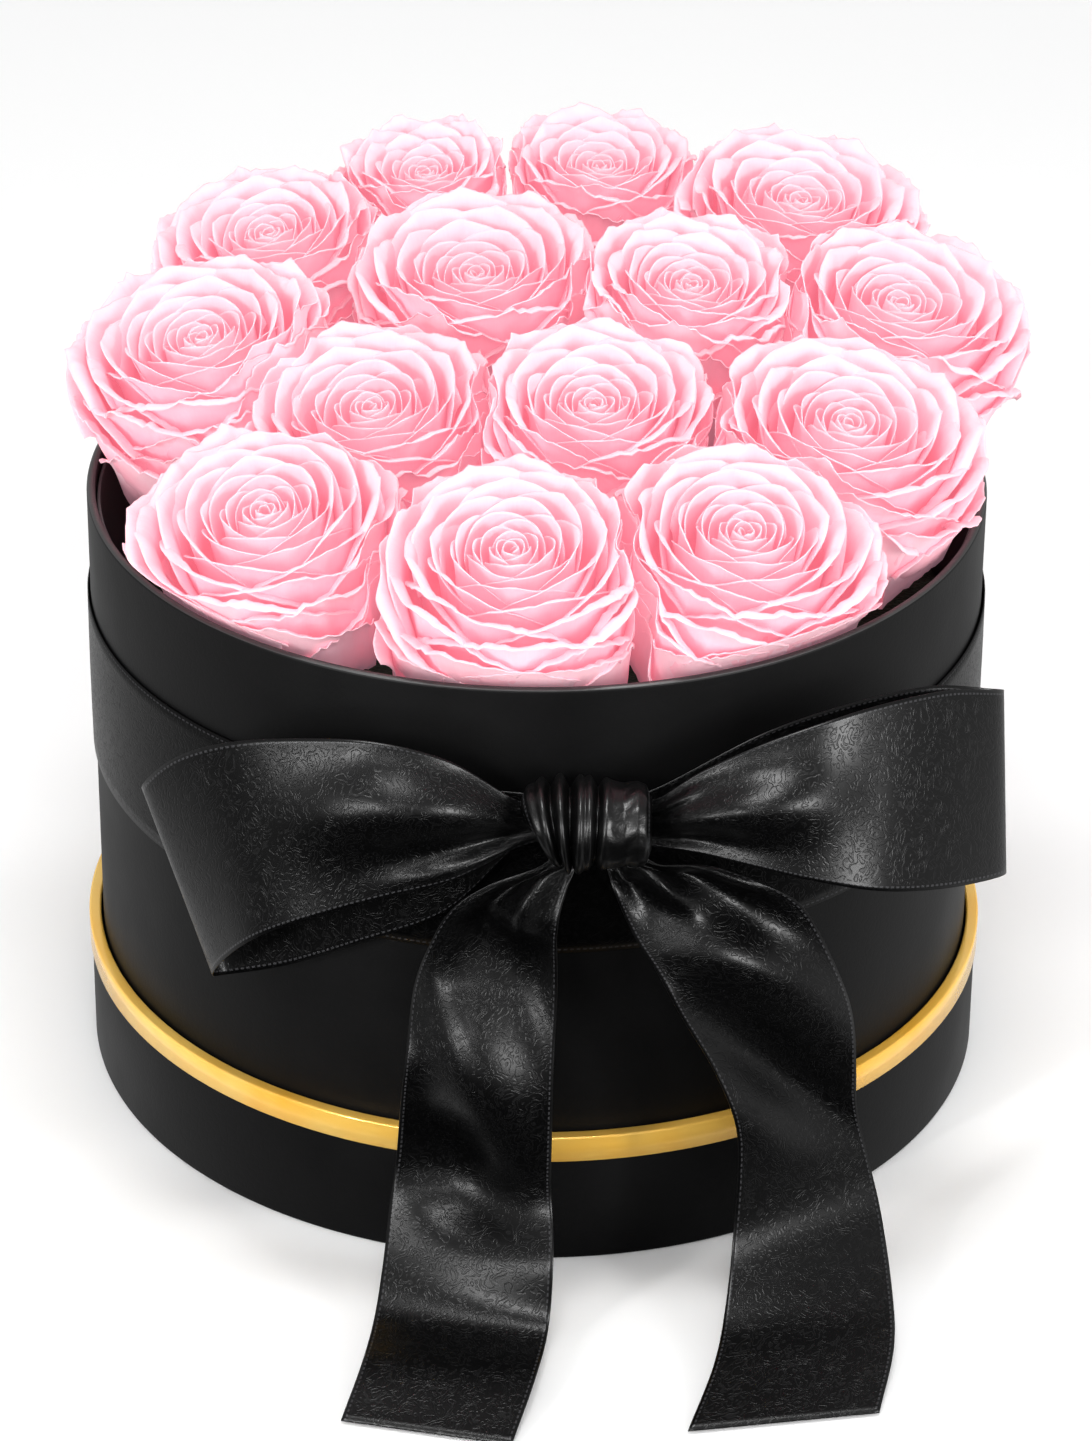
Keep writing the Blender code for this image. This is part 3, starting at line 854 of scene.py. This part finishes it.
def make_ribbon():
    satin = satin_material("satin", 0.18)
    make_band(satin_material("satin_wound", 0.1))
    make_knot(satin_material("satin_drawn_tight", 0.25, 0.35))
    for name, node, stations, outward, held, rests in (
        ("satin_loop_left", "bow_loop_left", LOOP_LEFT, 1, "gathered", ["satin_knot"]),
        ("satin_loop_right", "bow_loop_right", LOOP_RIGHT, -1, "gathered", ["satin_knot"]),
        ("satin_tail_left", "bow_tail_left", TAIL_LEFT, 1, "hung", ["satin_knot"]),
        ("satin_tail_right", "bow_tail_right", TAIL_RIGHT, 1, "hung", ["satin_knot"]),
    ):
        piece, length = ribbon_sheet(name, stations, satin, outward)
        stand_for(piece, "box", "satin_black", node)


# -------------------------------------------------------------------- roses


class RosePlace:
    """Where a rose is, from its CAD solids and joint: foot, eye, head and stem axes, and petal radius."""

    def __init__(self, rose):
        axis = np.array(next(j["axis"] for j in frame["joints"] if j["child"] == rose), float)
        self.name = rose
        self.axis = axis / np.linalg.norm(axis)
        bloom, self.stem = (node_points(rose + part) for part in ("_bloom", "_stem"))
        self.foot = self.stem[np.argmax(self.stem @ self.axis)] + self.axis * STEM_GAP
        head = bloom.mean(axis=0) - self.foot
        self.head = head / np.linalg.norm(head)
        heights = (bloom - self.foot) @ self.head
        reach, self.lift, shift = ROSE_SHAPES[rose]
        self.radius = reach * MM
        self.eye = self.foot + self.head * (heights.max() - EYE_BELOW_TOP) + np.array(shift) * MM
        self.basis = basis_round(self.head)
        self.neighbours = []


def node_points(node):
    return np.unique([tuple(v.co) for v in frame["nodes"][node].data.vertices], axis=0)


def basis_round(axis):
    """Three unit rows: two across the axis, then the axis."""
    side = np.cross(axis, (0, 1, 0))
    side /= np.linalg.norm(side)
    return np.array([side, np.cross(axis, side), axis])


def find_neighbours(places):
    """Gives each rose the wavy walls it shares with those round it, as (wall, side): the side is 1 or -1."""
    for index, place in enumerate(places):
        for other in places[index + 1:]:
            gap = other.eye - place.eye
            upright = place.axis + other.axis
            upright /= np.linalg.norm(upright)
            normal = gap - (gap @ upright) * upright
            distance = np.linalg.norm(normal)
            if distance > PRESS_REACH * (place.radius + other.radius):
                continue
            normal /= distance
            middle = place.eye + normal * distance * place.radius / (place.radius + other.radius)
            wall = (middle, normal, np.cross(upright, normal), index)
            place.neighbours.append((wall, 1))
            other.neighbours.append((wall, -1))


def pressed(value, limit, soft):
    """The value, held below the limit: it starts to yield at a distance of soft before it."""
    start = limit - soft
    over = np.maximum(value - start, 0)
    return np.where(value > start, limit - soft * np.exp(-over / soft), value)


def press(points, place):
    """Pushes petals back from the neighbouring roses and from the wall of the box."""
    for _ in range(2):
        for (middle, normal, sideways, phase), side in place.neighbours:
            offset = points - middle
            turn = offset @ sideways / WALL_RIPPLE_LENGTH + WALL_RIPPLE_TURN * phase
            ripple = np.sin(turn) * WALL_RIPPLE
            over = (offset @ normal - ripple) * side
            back = pressed(over, -ROSE_GAP, PRESS_SOFT) - over
            points = points + back[:, None] * side * normal
            points = points - PRESS_LIFT * back[:, None] * place.head
    away = np.hypot(points[:, 0], points[:, 1])
    above = points[:, 2] - RIM_HEIGHT
    limit = WALL_LIMIT + np.where(above < 0, WALL_SLOPE_BELOW, WALL_SLOPE_ABOVE) * above
    share = pressed(away, limit, PRESS_SOFT) / np.maximum(away, MM)
    points[:, :2] *= share[:, None]
    return points


def wave(rng, u, count, low, high):
    """A smooth random line over u: a few sines of random phase, with an amplitude of about 1."""
    line = np.zeros_like(u)
    for _ in range(count):
        line += np.sin(u * rng.uniform(low, high) + rng.uniform(0, math.tau))
    return line / math.sqrt(count)


def at(t, table):
    """The value at t of a table of places and values."""
    return np.interp(t, *table)


def petal_margin(t, u, place, rng):
    """Height and distance from the axis along a petal's margin, where u runs across it from -1 to 1.

    The margin is round, a little higher on one side, pinched to a point, wavy, and ragged further out.
    """
    rise = place.lift * eased((t - 0.25) / 0.5)
    tip_height = at(t, CROWN) + rise + rng.uniform(-0.5, 0.5) * (0.3 + t)
    drop = at(t, MARGIN_DROP) * rng.uniform(0.85, 1.15)
    fall = drop * np.abs(u) ** 2.1 + rng.uniform(-1, 1) * 1.2 * t * u
    point = at(t, POINT) * np.exp(-np.abs(u - rng.uniform(-0.12, 0.12)) / 0.07)
    ruffle = at(t, RUFFLE) * wave(rng, u, 3, 5, 14)
    ragged = at(t, RAGGED) * rng.normal(size=len(u))
    height = tip_height - fall + point + ruffle + ragged
    rim = place.radius / MM * at(t, SPREAD) - 0.07 * fall + 0.4 * point
    rim += at(t, RIM_WAVE) * wave(rng, u, 2, 3, 8)
    return height, rim


def petal_lean(t, u, along, rng):
    """How far a petal leans out, in radians, at each place along and across it."""
    trunk = at(t, TRUNK_LEAN) + rng.uniform(-1.5, 1.5)
    flare = (at(t, FLARE) + rng.uniform(-5, 5)) * (1 + 0.15 * t * wave(rng, u, 2, 2, 5))
    roll = at(t, ROLL) * rng.uniform(0.6, 1.3) * (1 + 0.35 * wave(rng, u, 2, 2, 6))
    # A margin rolls back less at its point.
    roll *= 1 - 0.5 * np.exp(-((u / 0.1) ** 2))
    flare_share = np.clip(1 - along[:, None] / at(t, FLARE_LENGTH), 0, 1)
    roll_share = np.clip(1 - along[:, None] / at(t, ROLL_LENGTH), 0, 1)
    angle = trunk + flare[None, :] * flare_share**1.2 + roll[None, :] * roll_share
    angle += at(t, LOWER_LEAN) * eased((along[:, None] - at(t, LOWER_LEAN_FROM)) / LOWER_LEAN_OVER)
    return np.radians(angle)


def petal_grid(t, turn, place, rng):
    """One petal in the rose's own frame, in millimetres, as rows from margin to base.

    Gives its points, their distance from the margin, and the places across it and along it.
    """
    u = np.linspace(-1, 1, int(at(t, COLUMNS)) + 1)
    length = at(t, LENGTH)
    along = length * np.linspace(0, 1, int(at(t, ROWS)) + 1) ** ROW_CROWDING
    height, rim = petal_margin(t, u, place, rng)
    angle = petal_lean(t, u, along, rng)
    steps = np.diff(along)[:, None]
    middle = (angle[1:] + angle[:-1]) / 2
    start = np.zeros((1, len(u)))
    out = rim[None, :] - np.concatenate([start, np.cumsum(np.sin(middle) * steps, axis=0)])
    up = height[None, :] - np.concatenate([start, np.cumsum(np.cos(middle) * steps, axis=0)])
    # The lower part is drawn to where the petal joins the rose.
    bend_from = min(BASE_BEND, 0.5 * length)
    pull = eased((along - bend_from) / (length - bend_from))[:, None]
    out += (at(t, BASE_OUT) - out[-1:]) * pull
    up += (at(t, BASE_UP) - up[-1:]) * pull
    spiral = rng.uniform(-0.02, 0.05) * np.abs(u) ** 3 + at(t, TUCK) * u
    out = np.maximum(out * (1 + spiral[None, :]), AXIS_CLEARANCE)
    half_angle = math.radians(at(t, HALF_ANGLE))
    narrowing = 1 - 0.25 * (along[:, None] / length) ** 1.5
    azimuth = turn + half_angle * u[None, :] * narrowing
    grid = np.stack([np.cos(azimuth) * out, np.sin(azimuth) * out, up], axis=-1)
    from_side = (1 - np.abs(u)) * half_angle * place.radius / MM * at(t, SPREAD)
    from_margin = np.minimum(along[:, None], from_side[None, :])
    return grid, from_margin, u, along


def make_petals(place, material, rng):
    """All of a rose's petals as one piece, from the innermost outwards by the golden angle."""
    points, faces, leaf, margin, deep = [], [], [], [], []
    first = 0
    spin = rng.uniform(0, math.tau)
    for i in range(PETALS):
        t = i / (PETALS - 1)
        turn = spin + i * GOLDEN_ANGLE + rng.uniform(-0.12, 0.12)
        grid, from_margin, u, along = petal_grid(t, turn, place, rng)
        rows, columns = grid.shape[:2]
        points.append(grid.reshape(-1, 3))
        faces += grid_faces(rows, columns, first)
        first += rows * columns
        # The map is in metres across and along the petal, and each petal has its own stretch of it.
        uv = np.empty((rows, columns, 2))
        uv[..., 0] = (u * (4 + 16 * t))[None, :] * MM + i
        uv[..., 1] = along[:, None] * MM
        leaf.append(uv.reshape(-1, 2))
        # margin carries the pale edge and its painted highlight; deep carries the rosier base and its painted
        # shade.
        margin.append(np.exp(-from_margin / PALE_HIGHLIT_EDGE).ravel())
        deep.append(np.broadcast_to(eased(along / ROSY_SHADED_FROM)[:, None], (rows, columns)).ravel())
    placed = press(np.concatenate(points) * MM @ place.basis + place.eye, place)
    values = {"margin": np.concatenate(margin), "deep": np.concatenate(deep)}
    uv_map = ("leaf", np.concatenate(leaf))
    piece = mesh_object(place.name + "_petals", placed, faces, material, uv_map, values)
    thicken(piece, PETAL_THICKNESS)
    stand_for(piece, place.name, "petal_pink", place.name + "_bloom")


def stem_rings(bottom):
    """Radius and height of each ring of the cup and the stem, in millimetres, from the cup down."""
    top = CUP[-1][1]
    rings = list(CUP)
    for k in range(1, STEM_RINGS):
        swell = STEM_SWELL * math.sin(k * 1.9)
        rings.append((STEM_RADIUS + swell, top + (bottom - top) * k / STEM_RINGS))
    return [*rings, (STEM_FOOT_RADIUS, bottom)]


def make_stem(place, basis, material):
    """The stem with its nodes, and the cup under the bloom."""
    bottom = ((place.stem - place.foot) @ place.axis).min() / MM
    rings = stem_rings(bottom)
    turns = np.linspace(0, math.tau, STEM_SIDES, endpoint=False)
    rows = []
    for r, z in rings:
        rows.append(np.stack([r * np.cos(turns), r * np.sin(turns), np.full(STEM_SIDES, z)], axis=-1))
    points = np.concatenate([*rows, [[0, 0, CUP_TOP]], [[0, 0, bottom]]])
    faces = tube_faces(len(rows), STEM_SIDES)
    cap = len(rows) * STEM_SIDES
    last = cap - STEM_SIDES
    for c in range(STEM_SIDES):
        after = (c + 1) % STEM_SIDES
        faces += [(cap, c, after), (cap + 1, last + after, last + c)]
    piece = mesh_object(place.name + "_stem_and_cup", points * MM @ basis + place.foot, faces, material)
    stand_for(piece, place.name, "stem_green", place.name + "_stem")


def make_sepals(place, basis, material, rng):
    """Five pointed sepals, bent back from the cup."""
    points, faces, first = [], [], 0
    across = np.linspace(-1, 1, SEPAL_COLUMNS)
    along = np.linspace(0, 1, SEPAL_ROWS)
    belly = np.sin(math.pi * np.clip(along * 0.86 + 0.14, 0, 1)) ** 0.8
    width = SEPAL_HALF_WIDTH * belly * (1 - along) ** 0.25 + 0.05
    reach = SEPAL_OUT + SEPAL_BOW * np.sin(along * 2.2)
    hollow = SEPAL_HOLLOW * (across[None, :] ** 2) * np.sin(math.pi * along)[:, None]
    out = reach[:, None] + hollow
    sideways = across[None, :] * width[:, None]
    spin = rng.uniform(0, math.tau)
    for k in range(SEPALS):
        fall = SEPAL_TOP - SEPAL_FALL * along**1.5 - rng.uniform(0, SEPAL_DROOP) * along
        turn = spin + k * math.tau / SEPALS
        x = out * math.cos(turn) - sideways * math.sin(turn)
        y = out * math.sin(turn) + sideways * math.cos(turn)
        z = np.broadcast_to(fall[:, None], x.shape)
        points.append(np.stack([x, y, z], axis=-1).reshape(-1, 3))
        faces += grid_faces(len(along), len(across), first)
        first += len(along) * len(across)
    placed = np.concatenate(points) * MM @ basis + place.foot
    piece = mesh_object(place.name + "_sepals", placed, faces, material)
    thicken(piece, SEPAL_THICKNESS)
    stand_for(piece, place.name, "stem_green")


def make_roses():
    petal, stem = petal_material(), stem_material()
    places = [RosePlace(name) for name in frame["bodies"] if name.startswith("rose_")]
    find_neighbours(places)
    for index, place in enumerate(places):
        rng = np.random.default_rng(SEED + index)
        make_petals(place, petal, rng)
        basis = basis_round(place.axis)
        make_stem(place, basis, stem)
        make_sepals(place, basis, stem, rng)


# --------------------------------------------------- floor, light and camera


def make_floor():
    look = Shading("studio_floor")
    tone = look.noise(3.0, 2)
    look.set(
        Base_Color=look.ramp(tone, (0.0, (0.90, 0.90, 0.90)), (1.0, (0.93, 0.93, 0.93))),
        Roughness=0.55,
        Specular_IOR_Level=0.2,
        Emission_Color=(1, 1, 1, 1),
        Emission_Strength=0.06,
    )
    corners = [(x * FLOOR_REACH, y * FLOOR_REACH, 0) for x, y in ((-1, -1), (1, -1), (1, 1), (-1, 1))]
    floor = mesh_object("studio_floor", corners, [(0, 1, 2, 3)], look.material)
    floor.location.z = cad_low.z - FLOOR_GAP
    floor.visible_glossy = False


def make_world():
    world = bpy.data.worlds.new("studio")
    world.use_nodes = True
    nodes, links = world.node_tree.nodes, world.node_tree.links
    background = nodes["Background"]
    background.inputs["Color"].default_value = (1, 1, 1, 1)
    direction = nodes.new("ShaderNodeTexCoord").outputs["Generated"]
    dark = nodes.new("ShaderNodeMath")
    dark.operation = "MULTIPLY"
    edges = (((0, 0, 1), WORLD_HORIZON), (WORLD_DARK_WAY, WORLD_DARK_EDGE))
    for index, (axis, edge) in enumerate(edges):
        along = nodes.new("ShaderNodeVectorMath")
        along.operation = "DOT_PRODUCT"
        along.inputs[1].default_value = axis
        links.new(direction, along.inputs[0])
        share = nodes.new("ShaderNodeMapRange")
        share.inputs["From Min"].default_value, share.inputs["From Max"].default_value = edge
        links.new(along.outputs["Value"], share.inputs["Value"])
        links.new(share.outputs["Result"], dark.inputs[index])
    shade = nodes.new("ShaderNodeMapRange")
    shade.inputs["To Min"].default_value, shade.inputs["To Max"].default_value = WORLD_LIGHT
    links.new(dark.outputs[0], shade.inputs["Value"])
    links.new(shade.outputs["Result"], background.inputs["Strength"])
    bpy.context.scene.world = world


def make_lights():
    for name, (place, size, power, mirrored_only) in LIGHTS.items():
        light = bpy.data.lights.new(name, "AREA")
        light.shape = "RECTANGLE"
        light.size, light.size_y = size
        light.energy = power
        made = bpy.data.objects.new(name, light)
        bpy.context.scene.collection.objects.link(made)
        made.location = place
        made.rotation_mode = "QUATERNION"
        made.rotation_quaternion = (Vector(LIGHT_AIM) - Vector(place)).to_track_quat("-Z", "Y")
        made.visible_diffuse = not mirrored_only


def make_camera():
    """The camera stands in front of the box and looks down on it."""
    yaw, pitch, roll = (math.radians(a) for a in CAMERA_TURN)
    forward = Vector((math.sin(yaw) * math.cos(pitch), math.cos(yaw) * math.cos(pitch), -math.sin(pitch)))
    level = Vector((math.cos(yaw), -math.sin(yaw), 0))
    upright = level.cross(forward)
    right = level * math.cos(roll) + upright * math.sin(roll)
    up = upright * math.cos(roll) - level * math.sin(roll)
    data = bpy.data.cameras.new("camera")
    data.lens, data.sensor_width = CAMERA_LENS, CAMERA_SENSOR
    data.clip_start, data.clip_end = 0.05, 20
    camera = bpy.data.objects.new("camera", data)
    bpy.context.scene.collection.objects.link(camera)
    turn = Matrix((right, up, -forward)).transposed()
    camera.matrix_world = Matrix.Translation(CAMERA_PLACE) @ turn.to_4x4()
    bpy.context.scene.camera = camera


def write_sizes():
    bpy.context.view_layer.update()


bpy.context.scene.view_settings.view_transform = "Standard"
make_board_pieces()
make_gold_band()
make_ribbon()
make_roses()
make_floor()
make_world()
make_lights()
make_camera()
write_sizes()
